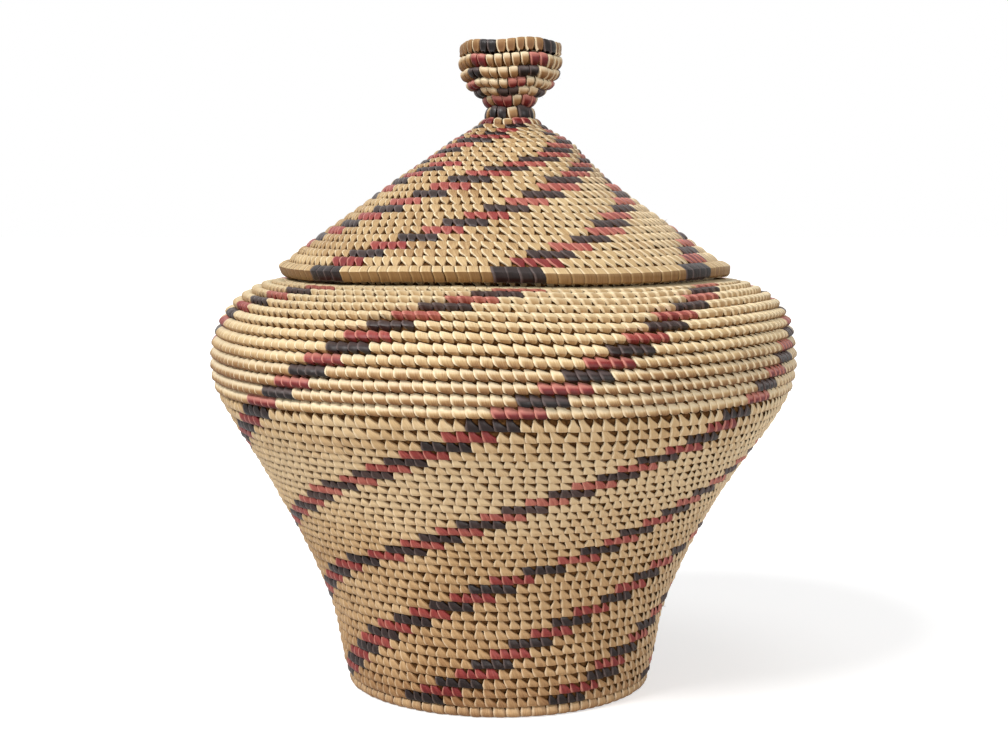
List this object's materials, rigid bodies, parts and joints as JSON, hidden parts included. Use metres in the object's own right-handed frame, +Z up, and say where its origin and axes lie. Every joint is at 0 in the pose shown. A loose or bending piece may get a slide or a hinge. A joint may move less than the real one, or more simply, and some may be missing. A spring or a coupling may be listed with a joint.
{
  "type": "lidded coiled basket",
  "caption": "Lidded coiled grass basket with a narrow foot, wide belly and conical knobbed lid, in natural straw with stepped diagonal bands of red and dark splints.",
  "frame": {"origin": "centre of the circle that the basket stands on, on the floor", "axes": "+Z up along the basket's axis; -Y is the side that the picture shows"},
  "size_m": [0.2098, 0.2098, 0.2325],
  "materials": {
    "natural_splint": "dry split plant fibre, pale straw, matt to slightly silky along the fibre",
    "aged_splint": "dry split plant fibre, a little browner and duller, matt",
    "red_splint": "dyed crimson red, faded in places, matt",
    "dark_splint": "dyed dark aubergine, nearly black, slightly glossy"
  },
  "bodies": {
    "basket": {"base_start_button": "aged_splint", "base_coil": "aged_splint", "foot_coil": "aged_splint", "lower_wall": "natural_splint", "flared_wall": "natural_splint", "belly": "natural_splint", "shoulder": "natural_splint", "mouth_rim_coil": "natural_splint"},
    "lid": {"lid_locating_ring": "natural_splint", "lid_rim_coil": "natural_splint", "lid_cone_lower": "natural_splint", "lid_cone_upper": "natural_splint", "knob_neck": "natural_splint", "knob_cup": "natural_splint", "knob_rim_coil": "natural_splint", "knob_top_disc": "natural_splint"}
  },
  "joints": [
    {"name": "lid_lift", "type": "slide", "parent": "basket", "child": "lid", "axis": [0, 0, 1], "range_m": [0, 0.12]}
  ]
}
